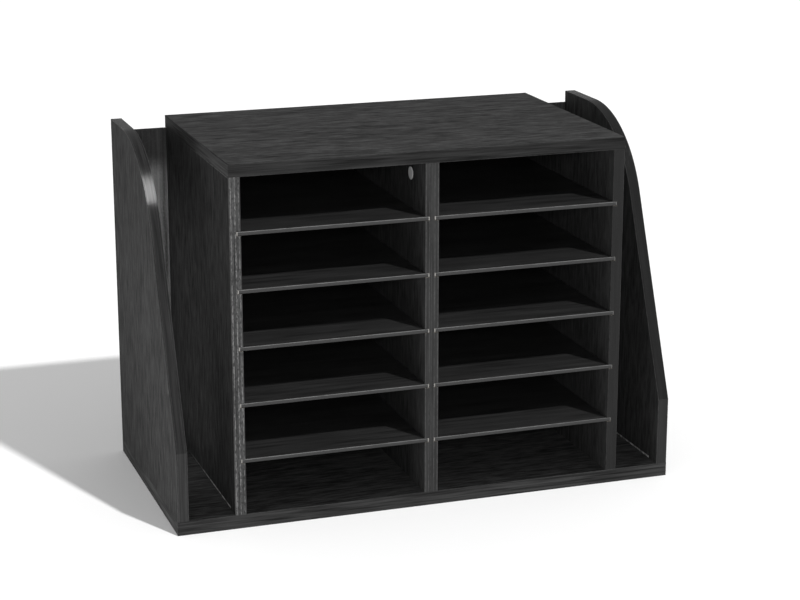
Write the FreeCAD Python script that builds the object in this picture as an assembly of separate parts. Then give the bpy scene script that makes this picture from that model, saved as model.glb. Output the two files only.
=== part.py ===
import FreeCAD
import Part
import math
import os

# Desktop sorter for envelopes and paper: two columns of pull-out shelves between three
# uprights, and an open pocket on each side behind a curved outer panel.
# Millimetres. X runs left to right, Y front to back, Z up. The origin is on the floor,
# at the middle of the footprint.

# ---- driving dimensions ----
column_width = 235.0        # clear width of a column
pocket_width = 59.0         # clear width of a side pocket
row_height = 67.4           # clear height of a compartment
rows = 6                    # compartments in a column
board_depth = 329.0         # front to back of the standing boards and the base

side_board = 14.5           # thickness of the outer and inner sides
divider_board = 18.0
base_board = 18.0
top_board = 16.0
shelf_board = 5.0
back_panel = 3.0
edge_tape = 0.6             # strip glued on each sawn edge that shows

side_front_height = 107.0   # floor to the foot of the slope on an outer side
side_slope = 22.4           # degrees the slope leans back from upright
side_crown_radius = 160.0   # from the slope over to the level top

groove_depth = 6.0
shelf_fit = 0.3             # gap above and below a shelf in its groove
shelf_end_gap = 0.5         # gap between a shelf's end and the bottom of its groove
shelf_setback = 0.3         # shelf front behind the front plane
shelf_rear_gap = 0.6        # shelf back to back panel

back_reveal = 1.0           # top board beyond the back panel, as deep as a nail head
back_inset = 1.0            # back panel short of the sides and the floor
back_top_gap = 0.4          # back panel short of the top board

# Cam locks that pull the top board down on the three inner uprights
cam_diameter = 15.0
cam_height = 12.0
cam_drop = 23.0              # cam centre below the top board
cam_inset = 55.0            # cams and base screws in from the front and the back
cam_axis_depth = 7.25       # bolt axis behind the face that the cam is let into
cam_fit = 0.2
cap_diameter = 16.5
cap_thickness = 0.8
cap_bevel = 0.4
drive_slot = 1.4            # cross slot in the cam's face
drive_length = 8.0
drive_depth = 2.5
seam_turn = 200.0           # turns the drum's seam clear of its slots

bolt_head = 7.0
bolt_head_length = 3.0
bolt_neck = 4.6
bolt_shank = 6.6
bolt_thread = 6.0
bolt_thread_length = 11.0
bolt_fit = 0.2

dowel_diameter = 8.0
dowel_length = 28.0
dowel_in_board = 11.0       # part of a dowel in the base or the top board
dowel_spacing = 32.0        # from a cam or base screw to the dowel beside it
dowel_fit = 0.1

screw_diameter = 5.2
screw_length = 46.0
screw_head = 9.6
screw_head_height = 3.6
screw_tip = 4.0
screw_recess = 0.4          # head below the underside
screw_socket = 4.0          # hexagon across corners
screw_socket_depth = 2.2
screw_fit = 0.1

nail_diameter = 1.8
nail_length = 18.0
nail_head = 5.0
nail_head_height = 1.0
nail_fit = 0.05
nails_per_column = 2        # along the base, under each column

# ---- places worked out from them ----
half_width = side_board * 2 + pocket_width + column_width + divider_board / 2
front = -(board_depth + back_panel + back_reveal) / 2
board_back = front + board_depth
panel_back = board_back + back_panel
top_back = panel_back + back_reveal
base_top = base_board
shelf_pitch = row_height + shelf_board
under_top = base_top + rows * row_height + (rows - 1) * shelf_board
total_height = under_top + top_board

inner_side_x = half_width - side_board - pocket_width - side_board
screw_ys = (front + cam_inset, board_back - cam_inset)
dowel_ys = (screw_ys[0] + dowel_spacing, screw_ys[1] - dowel_spacing)

# each upright: its left face, its thickness, the sides that carry grooves, and the way
# its cams face, or 0 where it has none
uprights = {
    "outer_left": (-half_width, side_board, (), 0),
    "inner_left": (-inner_side_x - side_board, side_board, (1,), 1),
    "divider": (-divider_board / 2, divider_board, (-1, 1), -1),
    "inner_right": (inner_side_x, side_board, (-1,), 1),
    "outer_right": (half_width - side_board, side_board, (), 0),
}


def block(x0, x1, y0, y1, z0, z1):
    return Part.makeBox(x1 - x0, y1 - y0, z1 - z0, FreeCAD.Vector(x0, y0, z0))


def rod(diameter, length, x, y, z, direction=(0, 0, 1)):
    start = FreeCAD.Vector(x, y, z)
    return Part.makeCylinder(diameter / 2, length, start, FreeCAD.Vector(*direction))


def taper(diameter0, diameter1, length, x, y, z):
    start = FreeCAD.Vector(x, y, z)
    return Part.makeCone(diameter0 / 2, diameter1 / 2, length, start, FreeCAD.Vector(0, 0, 1))


def joined(pieces):
    first, *others = pieces
    return first.fuse(others).removeSplitter() if others else first


def shelf_underside(level):
    return base_top + level * shelf_pitch - shelf_board


def row_middle(row):
    return base_top + row * shelf_pitch + row_height / 2


def grooves(name):
    """The slots that the shelves slide in, open at the front and the back."""
    left, thickness, sides, _ = uprights[name]
    slots = []
    for side in sides:
        face = left + thickness if side > 0 else left
        inner, outer = sorted((face - side * groove_depth, face + side * shelf_fit))
        for level in range(1, rows):
            z = shelf_underside(level)
            slots.append(block(inner, outer, front - 1, board_back + 1,
                               z - shelf_fit, z + shelf_board + shelf_fit))
    return slots


# ---- fasteners, each with the hole that it needs ----
def cam_places(name):
    """Cam centre on the face, and the way out of that face."""
    left, thickness, _, facing = uprights[name]
    face = left + thickness if facing > 0 else left
    return [(face, y, under_top - cam_drop, facing) for y in screw_ys if facing]


def cam_hole(face, y, z, facing):
    depth = cam_height + cam_fit
    return rod(cam_diameter, depth, face, y, z, (-facing, 0, 0))


def cam_lock(face, y, z, facing):
    """A drum with a room for the bolt's head, a way in for it and a slot for its neck."""
    body = rod(cam_diameter - 2 * cam_fit, cam_height, face, y, z, (-facing, 0, 0))
    body.rotate(FreeCAD.Vector(face, y, z), FreeCAD.Vector(1, 0, 0), seam_turn)
    axis = face - facing * cam_axis_depth
    head_room = bolt_head + 2 * bolt_fit
    grip = bolt_neck + 2 * bolt_fit
    room_length = bolt_head_length + 2 * bolt_fit
    inner, outer = sorted((face, face - facing * drive_depth))
    hollow = joined([
        block(axis - head_room / 2, axis + head_room / 2, y - head_room / 2, y + cam_diameter,
              z - room_length / 2, z + room_length / 2),
        block(axis - grip / 2, axis + grip / 2, y - grip / 2, y + grip / 2, z, z + cam_diameter),
    ])
    slots = [block(inner, outer, y - across / 2, y + across / 2, z - along / 2, z + along / 2)
             for across, along in ((drive_slot, drive_length), (drive_length, drive_slot))]
    return body.cut(hollow).cut(joined(slots))


def cam_cap(face, y, z, facing):
    way = FreeCAD.Vector(facing, 0, 0)
    rim = cap_thickness - cap_bevel
    disc = rod(cap_diameter, rim, face, y, z, (facing, 0, 0))
    dome = Part.makeCone(cap_diameter / 2, cap_diameter / 2 - cap_bevel, cap_bevel,
                         FreeCAD.Vector(face + facing * rim, y, z), way)
    return joined([disc, dome])


def bolt_x(face, facing):
    return face - facing * cam_axis_depth


def cam_bolt(face, y, z, facing):
    x = bolt_x(face, facing)
    head_low = z - bolt_head_length / 2
    neck_low = z + bolt_head_length / 2
    shank_low = z + cam_diameter / 2 + bolt_fit
    return joined([
        rod(bolt_head, bolt_head_length, x, y, head_low),
        rod(bolt_neck, shank_low - neck_low, x, y, neck_low),
        rod(bolt_shank, under_top - shank_low, x, y, shank_low),
        rod(bolt_thread, bolt_thread_length, x, y, under_top),
    ])


def bolt_hole_in_upright(face, y, z, facing):
    return rod(bolt_shank + 2 * bolt_fit, under_top - z, bolt_x(face, facing), y, z)


def bolt_hole_in_top(face, y, z, facing):
    depth = bolt_thread_length + bolt_fit
    return rod(bolt_thread + 2 * bolt_fit, depth, bolt_x(face, facing), y, under_top)


def middle_x(name):
    left, thickness, _, _ = uprights[name]
    return left + thickness / 2


def dowel(x, y, joint_z, way):
    """A dowel across the joint at joint_z; way is 1 where the board lies above it."""
    low = joint_z - (dowel_length - dowel_in_board) if way > 0 else joint_z - dowel_in_board
    return rod(dowel_diameter, dowel_length, x, y, low)


def dowel_hole(x, y, joint_z, way):
    plain = dowel(x, y, joint_z, way).BoundBox
    spare = 2 * dowel_fit
    return rod(dowel_diameter + spare, dowel_length + spare, x, y, plain.ZMin - dowel_fit)


def base_screw(x, y):
    head = taper(screw_head, screw_diameter, screw_head_height, x, y, screw_recess)
    straight = screw_length - screw_head_height - screw_tip
    low = screw_recess + screw_head_height
    shank = rod(screw_diameter, straight, x, y, low)
    tip = taper(screw_diameter, screw_diameter / 4, screw_tip, x, y, low + straight)
    corners = [FreeCAD.Vector(x + screw_socket / 2 * math.cos(math.radians(60 * k)),
                              y + screw_socket / 2 * math.sin(math.radians(60 * k)),
                              screw_recess) for k in range(7)]
    socket = Part.Face(Part.makePolygon(corners)).extrude(
        FreeCAD.Vector(0, 0, screw_socket_depth))
    return joined([head, shank, tip]).cut(socket)


def screw_hole(x, y):
    spare = 2 * screw_fit
    mouth = rod(screw_head + spare, screw_recess, x, y, 0)
    sink = taper(screw_head + spare, screw_diameter + spare, screw_head_height,
                 x, y, screw_recess)
    low = screw_recess + screw_head_height
    bore = rod(screw_diameter + spare, screw_length - screw_head_height + screw_fit, x, y, low)
    return joined([mouth, sink, bore])


def nail(x, z):
    shank = rod(nail_diameter, nail_length, x, panel_back, z, (0, -1, 0))
    return joined([rod(nail_head, nail_head_height, x, panel_back, z, (0, 1, 0)), shank])


def nail_hole(x, z):
    return rod(nail_diameter + 2 * nail_fit, nail_length + nail_fit, x, panel_back, z, (0, -1, 0))


def nail_places():
    """(x, z) of the nails: up each upright, and along the base under each bay."""
    high_rows = sorted({0, (rows - 1) // 2, rows // 2, rows - 1})
    places = [(middle_x(name), row_middle(row)) for name in uprights for row in high_rows]
    z = base_board / 2
    pocket_x = half_width - side_board - pocket_width / 2
    column_left = divider_board / 2
    for side in (-1, 1):
        places.append((side * pocket_x, z))
        for k in range(nails_per_column):
            x = column_left + column_width * (k + 0.5) / nails_per_column
            places.append((side * x, z))
    return places


# ---- boards ----
def side_outline(inset):
    """Profile of an outer side in the YZ plane, with its shown edges moved in by inset."""
    lean = math.radians(side_slope)
    radius = side_crown_radius
    rise = total_height - radius - side_front_height + radius * math.sin(lean)
    along = rise / math.cos(lean)
    centre_y = front + along * math.sin(lean) + radius * math.cos(lean)
    centre_z = total_height - radius

    def on_crown(angle):
        reach = radius - inset
        return FreeCAD.Vector(0, centre_y - reach * math.cos(angle),
                              centre_z + reach * math.sin(angle))

    foot_z = side_front_height - inset * math.tan(lean / 2)
    corner = FreeCAD.Vector(0, front + inset, foot_z)
    crown_start = on_crown(lean)
    crown_middle = on_crown((lean + math.pi / 2) / 2)
    crown_end = on_crown(math.pi / 2)
    back_high = FreeCAD.Vector(0, board_back, total_height - inset)
    back_low = FreeCAD.Vector(0, board_back, base_top)
    front_low = FreeCAD.Vector(0, front + inset, base_top)
    return Part.Wire([
        Part.LineSegment(front_low, corner).toShape(),
        Part.LineSegment(corner, crown_start).toShape(),
        Part.Arc(crown_start, crown_middle, crown_end).toShape(),
        Part.LineSegment(crown_end, back_high).toShape(),
        Part.LineSegment(back_high, back_low).toShape(),
        Part.LineSegment(back_low, front_low).toShape(),
    ])


def side_blank(left, inset):
    outline = side_outline(inset)
    outline.translate(FreeCAD.Vector(left, 0, 0))
    return Part.Face(outline).extrude(FreeCAD.Vector(side_board, 0, 0))


def upright_holes(name):
    x = middle_x(name)
    holes = [dowel_hole(x, y, base_top, -1) for y in dowel_ys]
    holes += [screw_hole(x, y) for y in screw_ys]
    for place in cam_places(name):
        holes += [cam_hole(*place), bolt_hole_in_upright(*place)]
    if cam_places(name):
        holes += [dowel_hole(x, y, under_top, 1) for y in dowel_ys]
    return holes + [nail_hole(px, pz) for px, pz in nail_places() if px == x]


def outer_side(name):
    left = uprights[name][0]
    core = side_blank(left, edge_tape)
    tape = side_blank(left, 0).cut(core)
    return core.cut(upright_holes(name)), tape


def inner_upright(name):
    left, thickness, _, _ = uprights[name]
    right = left + thickness
    core = block(left, right, front + edge_tape, board_back, base_top, under_top)
    tape = block(left, right, front, front + edge_tape, base_top, under_top)
    return core.cut(grooves(name) + upright_holes(name)), tape.cut(grooves(name))


def taped_board(half, back, low, high, tape_back):
    """A level board and the strips round its shown edges."""
    inner = half - edge_tape
    core_back = back - edge_tape if tape_back else back
    core = block(-inner, inner, front + edge_tape, core_back, low, high)
    strips = [block(-half, half, front, front + edge_tape, low, high),
              block(-half, -inner, front + edge_tape, core_back, low, high),
              block(inner, half, front + edge_tape, core_back, low, high)]
    if tape_back:
        strips.append(block(-half, half, core_back, back, low, high))
    return core, Part.makeCompound(strips)


def base():
    core, tape = taped_board(half_width, board_back, 0, base_top, False)
    holes = [screw_hole(middle_x(name), y) for name in uprights for y in screw_ys]
    holes += [dowel_hole(middle_x(name), y, base_top, -1) for name in uprights for y in dowel_ys]
    holes += [nail_hole(x, z) for x, z in nail_places() if z < base_top]
    return core.cut(holes), tape


def top():
    half = inner_side_x + side_board
    core, tape = taped_board(half, top_back, under_top, total_height, True)
    holes = [bolt_hole_in_top(*place) for name in uprights for place in cam_places(name)]
    holes += [dowel_hole(middle_x(name), y, under_top, 1)
              for name in uprights if cam_places(name) for y in dowel_ys]
    return core.cut(holes), tape


def back():
    half = half_width - back_inset
    sheet = block(-half, half, board_back, panel_back, back_inset, under_top - back_top_gap)
    return sheet.cut([nail_hole(x, z) for x, z in nail_places()])


def shelf(side, level):
    near = divider_board / 2 - groove_depth + shelf_end_gap
    far = divider_board / 2 + column_width + groove_depth - shelf_end_gap
    x0, x1 = sorted((side * near, side * far))
    z = shelf_underside(level)
    return block(x0, x1, front + shelf_setback, board_back - shelf_rear_gap,
                 z, z + shelf_board)


def group(pieces):
    return Part.makeCompound(list(pieces))


# ---- every node ----
nodes = {}
nodes["base_board"], nodes["edge_tape_base"] = base()
nodes["top_board"], nodes["edge_tape_top"] = top()
for side_name in ("left", "right"):
    board, strip = outer_side("outer_" + side_name)
    nodes["outer_side_" + side_name], nodes["edge_tape_outer_" + side_name] = board, strip
    board, strip = inner_upright("inner_" + side_name)
    nodes["inner_side_" + side_name], nodes["edge_tape_inner_" + side_name] = board, strip
nodes["centre_divider"], nodes["edge_tape_divider"] = inner_upright("divider")
nodes["back_panel"] = back()
for side_name, side in (("left", -1), ("right", 1)):
    for level in range(1, rows):
        nodes["shelf_%s_%d" % (side_name, level)] = shelf(side, level)

cams = [place for name in uprights for place in cam_places(name)]
nodes["cam_locks"] = group(cam_lock(*place) for place in cams)
nodes["cam_caps"] = group(cam_cap(*place) for place in cams)
nodes["cam_bolts"] = group(cam_bolt(*place) for place in cams)
nodes["top_dowels"] = group(dowel(middle_x(name), y, under_top, 1)
                            for name in uprights if cam_places(name) for y in dowel_ys)
nodes["base_dowels"] = group(dowel(middle_x(name), y, base_top, -1)
                             for name in uprights for y in dowel_ys)
nodes["base_screws"] = group(base_screw(middle_x(name), y)
                             for name in uprights for y in screw_ys)
nodes["back_nails"] = group(nail(x, z) for x, z in nail_places())

os.makedirs("parts", exist_ok=True)
for node, shape in nodes.items():
    shape.exportStep("parts/%s.step" % node)
    size = shape.BoundBox
    print("%-22s solids %2d  valid %s  %6.1f x %6.1f x %6.1f" % (
        node, len(shape.Solids), shape.isValid(), size.XLength, size.YLength, size.ZLength))
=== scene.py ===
import math

import bmesh
import bpy
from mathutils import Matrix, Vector


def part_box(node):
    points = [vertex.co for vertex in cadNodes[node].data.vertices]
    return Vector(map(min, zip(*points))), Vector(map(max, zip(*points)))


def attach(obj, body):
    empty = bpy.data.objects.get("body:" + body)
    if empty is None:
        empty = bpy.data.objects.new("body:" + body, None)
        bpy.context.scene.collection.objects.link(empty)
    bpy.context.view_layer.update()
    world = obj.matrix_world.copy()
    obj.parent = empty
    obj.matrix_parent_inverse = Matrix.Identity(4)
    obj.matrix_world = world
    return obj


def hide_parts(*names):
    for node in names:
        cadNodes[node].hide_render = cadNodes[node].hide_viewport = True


# Desktop sorter for envelopes and paper, in black wood-grain laminate.
# Metres. X runs left to right, Y front to back, Z up, and the floor is at Z 0.
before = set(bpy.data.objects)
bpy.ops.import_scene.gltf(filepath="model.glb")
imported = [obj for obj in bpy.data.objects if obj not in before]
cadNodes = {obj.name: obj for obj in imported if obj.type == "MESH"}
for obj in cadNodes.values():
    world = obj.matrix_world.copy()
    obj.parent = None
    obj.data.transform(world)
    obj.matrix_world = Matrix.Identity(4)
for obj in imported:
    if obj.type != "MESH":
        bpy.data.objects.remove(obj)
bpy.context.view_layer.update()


# a colour from display levels, 0 to 255, by the sRGB curve; one level alone is a grey
def paint(*levels):
    shares = [level / 255 for level in (levels * 3)[:3]]
    return tuple(share / 12.92 if share <= 0.04045 else ((share + 0.055) / 1.055) ** 2.4
                 for share in shares) + (1.0,)


def bringIn(name, data):
    thing = bpy.data.objects.new(name, data)
    bpy.context.scene.collection.objects.link(thing)
    return thing


# small helpers for node trees
def feed(tree, socket, value):
    if isinstance(value, bpy.types.NodeSocket):
        tree.links.new(value, socket)
    else:
        socket.default_value = value


def addNode(tree, kind, values=None, **settings):
    made = tree.nodes.new(kind)
    for name, setting in settings.items():
        setattr(made, name, setting)
    for key, value in (values or {}).items():
        feed(tree, made.inputs[key], value)
    return made


def maths(tree, operation, first, second=0.0, third=0.0, clamp=False):
    return addNode(tree, "ShaderNodeMath", {0: first, 1: second, 2: third},
                   operation=operation, use_clamp=clamp).outputs[0]


def times(tree, first, second, clamp=False):
    return maths(tree, "MULTIPLY", first, second, clamp=clamp)


# value times gain, plus more
def scaled(tree, value, gain, more, clamp=False):
    return maths(tree, "MULTIPLY_ADD", value, gain, more, clamp)


# gain times the distance of value from one half, plus middle
def centred(tree, value, gain, middle):
    return scaled(tree, maths(tree, "SUBTRACT", value, 0.5), gain, middle)


def ramped(tree, value, low, high, toLow=0.0, toHigh=1.0):
    return addNode(tree, "ShaderNodeMapRange",
                   {0: value, 1: low, 2: high, 3: toLow, 4: toHigh},
                   interpolation_type="SMOOTHSTEP").outputs[0]


def mixed(tree, share, first, second):
    return addNode(tree, "ShaderNodeMix", {0: share, 6: first, 7: second},
                   data_type="RGBA").outputs[2]


def noise(tree, vector, scale=1.0, detail=2.0, roughness=0.5):
    return addNode(tree, "ShaderNodeTexNoise",
                   {"Vector": vector, "Scale": scale, "Detail": detail,
                    "Roughness": roughness}).outputs[0]


# soft patches, from toLow below the low level of a noise to toHigh above the high one
def patchy(tree, vector, scale, low, high, toLow=0.0, toHigh=1.0, detail=3.0):
    return ramped(tree, noise(tree, vector, scale, detail), low, high, toLow, toHigh)


def combined(tree, x, y, z):
    return addNode(tree, "ShaderNodeCombineXYZ", {0: x, 1: y, 2: z}).outputs[0]


def separated(tree, vector):
    return addNode(tree, "ShaderNodeSeparateXYZ", {0: vector}).outputs


def joined(tree, operation, first, second):
    return addNode(tree, "ShaderNodeVectorMath", {0: first, 1: second},
                   operation=operation).outputs[0]


def stretched(tree, vector, along, across):
    return joined(tree, "MULTIPLY", vector, combined(tree, along, across, across))


# inputs hold the usual value of a number, or None for a vector
def shaderGroup(name, inputs, outputs):
    tree = bpy.data.node_groups.new(name, "ShaderNodeTree")
    for label, value in inputs.items():
        kind = "NodeSocketVector" if value is None else "NodeSocketFloat"
        socket = tree.interface.new_socket(name=label, in_out="INPUT", socket_type=kind)
        if value is not None:
            socket.default_value = value
    for label in outputs:
        tree.interface.new_socket(name=label, in_out="OUTPUT", socket_type="NodeSocketFloat")
    given = tree.nodes.new("NodeGroupInput").outputs
    result = tree.nodes.new("NodeGroupOutput").inputs
    return tree, given, result


def place(tree, group, values):
    made = tree.nodes.new("ShaderNodeGroup")
    made.node_tree = group
    for key, value in values.items():
        feed(tree, made.inputs[key], value)
    return made.outputs


# effects that several finishes share
layers = {
    "bends": (3.0, 16.0),     # changes in a metre, along and across the grain
    "strands": (0.70, 0.46),  # and these as shares of the fine lines' own
    "bands": (0.16, 0.06),
    "specks": (1.9, 3.1),
    "shares": (2.1, 1.8, 0.25),     # of lines, strands and bands in the tone
    "poreLevel": 0.72, "poreGain": -0.2, "poreSoftness": 0.07,
    "poreHeight": -0.8, "toneHeight": 0.45,
}


def buildWoodGrain():
    tree, given, result = shaderGroup(
        "woodGrain",
        {"Vector": None, "Along": 42.0, "Across": 420.0, "Wander": 0.004, "Pore Share": 0.5},
        ["Tone", "Pores", "Height"])
    # slow bends carry the fine lines along with them
    slow = noise(tree, stretched(tree, given["Vector"], *layers["bends"]), detail=1.0)
    bend = centred(tree, slow, given["Wander"], 0.0)
    bent = joined(tree, "ADD", given["Vector"], combined(tree, 0.0, bend, bend))
    fine = stretched(tree, bent, given["Along"], given["Across"])
    lines = noise(tree, fine, detail=3.0, roughness=0.65)
    strands = noise(tree, stretched(tree, fine, *layers["strands"]), detail=2.0)
    bands = noise(tree, stretched(tree, fine, *layers["bands"]), detail=1.0)
    tone = 0.5
    for layer, share in zip((lines, strands, bands), layers["shares"]):
        tone = centred(tree, layer, share, tone)
    tone = maths(tree, "MINIMUM", maths(tree, "MAXIMUM", tone, 0.0), 1.0)
    specks = noise(tree, stretched(tree, fine, *layers["specks"]), detail=1.0)
    threshold = scaled(tree, given["Pore Share"], layers["poreGain"], layers["poreLevel"])
    pores = ramped(tree, specks, threshold,
                   maths(tree, "ADD", threshold, layers["poreSoftness"]))
    sunk = times(tree, pores, layers["poreHeight"])
    feed(tree, result["Tone"], tone)
    feed(tree, result["Pores"], pores)
    feed(tree, result["Height"], scaled(tree, tone, layers["toneHeight"], sunk))
    return tree


# 1 inside a board, under the laminate's skin
def buildSawnCore():
    tree, given, result = shaderGroup(
        "sawnCore", {"Position": 0.0, "Middle": 0.0, "Half Thickness": 0.01, "Skin": 0.00008},
        ["Core"])
    offset = maths(tree, "SUBTRACT", given["Position"], given["Middle"])
    depth = maths(tree, "ABSOLUTE", offset)
    limit = maths(tree, "SUBTRACT", given["Half Thickness"], given["Skin"])
    feed(tree, result["Core"], maths(tree, "LESS_THAN", depth, limit))
    return tree


chipMix = {"chips": 0.55, "dust": 0.45, "dustScale": 1900.0}


def buildPressedChips():
    tree, given, result = shaderGroup(
        "pressedChips", {"Vector": None, "Chips Per Metre": 420.0}, ["Tone"])
    cells = addNode(tree, "ShaderNodeTexVoronoi",
                    {"Vector": given["Vector"], "Scale": given["Chips Per Metre"]})
    chips = addNode(tree, "ShaderNodeSeparateColor", {0: cells.outputs["Color"]}).outputs[0]
    dust = noise(tree, given["Vector"], scale=chipMix["dustScale"])
    feed(tree, result["Tone"],
         scaled(tree, chips, chipMix["chips"], times(tree, dust, chipMix["dust"])))
    return tree


# how large the patches of each kind of wear are, and how far they spread
wear = {
    "rubs": {"scale": 160.0, "low": 0.30, "high": 0.62},
    "smears": {"scale": 14.0, "low": 0.42, "high": 0.70},
    "lineBreaks": {"scale": 150.0, "low": 0.42, "high": 0.56},
    "lineWander": 260.0, "lineStep": 90.0, "lineFade": 0.002,
    "lineReach": (0.5, 0.3),     # of its width: none of it is left, and all of it
}


def buildEdgeWear():
    tree, given, result = shaderGroup(
        "edgeWear", {"Rim": 0.0, "Vector": None, "Amount": 0.6}, ["Mask"])
    kept = times(tree, patchy(tree, given["Vector"], **wear["rubs"]), given["Amount"])
    feed(tree, result["Mask"], times(tree, given["Rim"], kept, clamp=True))
    return tree


def buildHandling():
    tree, given, result = shaderGroup("handling", {"Vector": None, "Amount": 0.5}, ["Smudge"])
    feed(tree, result["Smudge"],
         times(tree, patchy(tree, given["Vector"], **wear["smears"]), given["Amount"]))
    return tree


# a line that wanders about its level, breaks up, and fades out from start to end
def buildRaggedLine():
    tree, given, result = shaderGroup(
        "raggedLine",
        {"Along": 0.0, "Height": 0.0, "Level": 0.0, "Width": 0.0015, "Start": 0.0, "End": 0.1,
         "Wobble": 0.0009, "Faintest": 0.3}, ["Mask"])
    # each level has its own breaks
    run = combined(tree, given["Along"], times(tree, given["Level"], wear["lineStep"]), 0.0)
    middle = centred(tree, noise(tree, run, scale=wear["lineWander"], detail=3.0),
                     given["Wobble"], given["Level"])
    broken = patchy(tree, run, toLow=given["Faintest"], **wear["lineBreaks"])
    away = maths(tree, "ABSOLUTE", maths(tree, "SUBTRACT", given["Height"], middle))
    across = ramped(tree, away, *(times(tree, given["Width"], k) for k in wear["lineReach"]))
    begun = ramped(tree, given["Along"], given["Start"],
                   maths(tree, "ADD", given["Start"], wear["lineFade"]))
    left = ramped(tree, given["Along"], given["End"], given["Start"])
    feed(tree, result["Mask"],
         times(tree, times(tree, across, begun), times(tree, left, broken), clamp=True))
    return tree


woodGrain = buildWoodGrain()
sawnCore = buildSawnCore()
pressedChips = buildPressedChips()
edgeWear = buildEdgeWear()
handling = buildHandling()
raggedLine = buildRaggedLine()
print("shared effects built")


def blankMaterial(name):
    material = bpy.data.materials.new(name)
    material.use_nodes = True
    material.node_tree.nodes.clear()
    return material, material.node_tree


# with the place on the object, whole and by its X, Y and Z
def newFinish(name):
    material, tree = blankMaterial(name)
    where = addNode(tree, "ShaderNodeTexCoord").outputs["Object"]
    return material, tree, where, separated(tree, where)


# one principled shader for each finish; what never changes stays on its own sockets
def finished(material, colour, rough, height, look):
    tree = material.node_tree
    strength, distance = look["relief"]
    bump = addNode(tree, "ShaderNodeBump",
                   {"Height": height, "Strength": strength, "Distance": distance})
    shader = addNode(tree, "ShaderNodeBsdfPrincipled",
                     {"Base Color": colour, "Roughness": rough, "Normal": bump.outputs[0],
                      "Specular IOR Level": look["gloss"],
                      "Metallic": look.get("metallic", 0.0)})
    addNode(tree, "ShaderNodeOutputMaterial", {"Surface": shader.outputs[0]})
    return material


# the way that the surface faces, by its X, Y and Z
def facingWay(tree):
    return separated(tree, addNode(tree, "ShaderNodeTexCoord").outputs["Normal"])


# roughness round its middle value; the effect is how far a tone from 0 to 1 moves it
def tonedRoughness(tree, tone, look):
    effect = look["toneEffect"]
    return scaled(tree, tone, effect, look["roughness"] - effect / 2)


laminate = {
    "X": (paint(36), paint(70)), "Z": (paint(37), paint(60)),     # by the grain's way
    "pore": paint(20), "poreStrength": 0.7,
    "core": (paint(96, 90, 82), paint(142, 134, 123)),
    "gloss": 0.01, "roughness": 0.60, "toneEffect": -0.10,
    "handled": 0.2, "smudgeEffect": -0.12, "coreRoughness": 0.4,
    "relief": (0.6, 0.00012), "coreRelief": 2.0,
    "skin": 0.00008,          # of laminate over the chips
    "faceReach": 0.0001,      # how near to a face a pale line lies
}
axisOrder = {"X": (0, 1, 2), "Z": (2, 0, 1)}     # the grain's way comes first


# laminate on the two faces of a board, and pressed chips where it is sawn or bored
def boardFinish(node, grain, thicknessAxis, chips=()):
    material, tree, where, parts = newFinish(node + "Finish")
    turned = combined(tree, *(parts[k] for k in axisOrder[grain]))
    wood = place(tree, woodGrain, {"Vector": turned})
    marks = place(tree, handling, {"Vector": where, "Amount": laminate["handled"]})
    low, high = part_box(node)
    axis = "XYZ".index(thicknessAxis)
    core = place(tree, sawnCore, {
        "Position": parts[axis], "Middle": (low[axis] + high[axis]) / 2,
        "Half Thickness": (high[axis] - low[axis]) / 2, "Skin": laminate["skin"]})["Core"]
    crumb = place(tree, pressedChips, {"Vector": where})["Tone"]
    face = mixed(tree, wood["Tone"], *laminate[grain])
    face = mixed(tree, times(tree, wood["Pores"], laminate["poreStrength"]), face,
                 laminate["pore"])
    # pale lines along a face, each brightest at the front and fading out towards the back
    for paleLine in chips:
        line = place(tree, raggedLine, {"Along": parts[1], "Height": parts[2], **paleLine["line"]})
        onFace = maths(tree, "COMPARE", parts[axis], paleLine["face"], laminate["faceReach"])
        face = mixed(tree, times(tree, line["Mask"], onFace), face, paleLine["core"])
    sawn = mixed(tree, crumb, *laminate["core"])
    rough = tonedRoughness(tree, wood["Tone"], laminate)
    rough = scaled(tree, marks["Smudge"], laminate["smudgeEffect"], rough)
    rough = scaled(tree, core, laminate["coreRoughness"], rough, clamp=True)
    height = scaled(tree, core, times(tree, crumb, laminate["coreRelief"]), wood["Height"])
    return finished(material, mixed(tree, core, face, sawn), rough, height, laminate)


edging = {
    "worn": paint(76), "wear": 0.30,
    "gloss": 0.22, "roughness": 0.17, "toneEffect": -0.08, "rimRoughness": 0.3,
    "relief": (0.6, 0.00010),
    "grain": {"Along": 12.0, "Across": 480.0, "Wander": 0.0012, "Pore Share": 0.35},
    "ground": 0.40,           # of the tone is left between the paler lines, which are painted highlights
    "calmLine": {"Width": 0.0015, "Wobble": 0.0008, "Faintest": 0.5},
    "raggedLine": {"Width": 0.0018, "Wobble": 0.0018, "Faintest": 0.35},
    "wholeStrip": {"Start": -10.0, "End": 90.0},
    "fleckSpacing": (170.0, 430.0), "fleckPatches": {"scale": 1.0, "low": 0.48, "high": 0.62},
    "turnedEnd": (0.6, 0.9),
}
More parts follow.
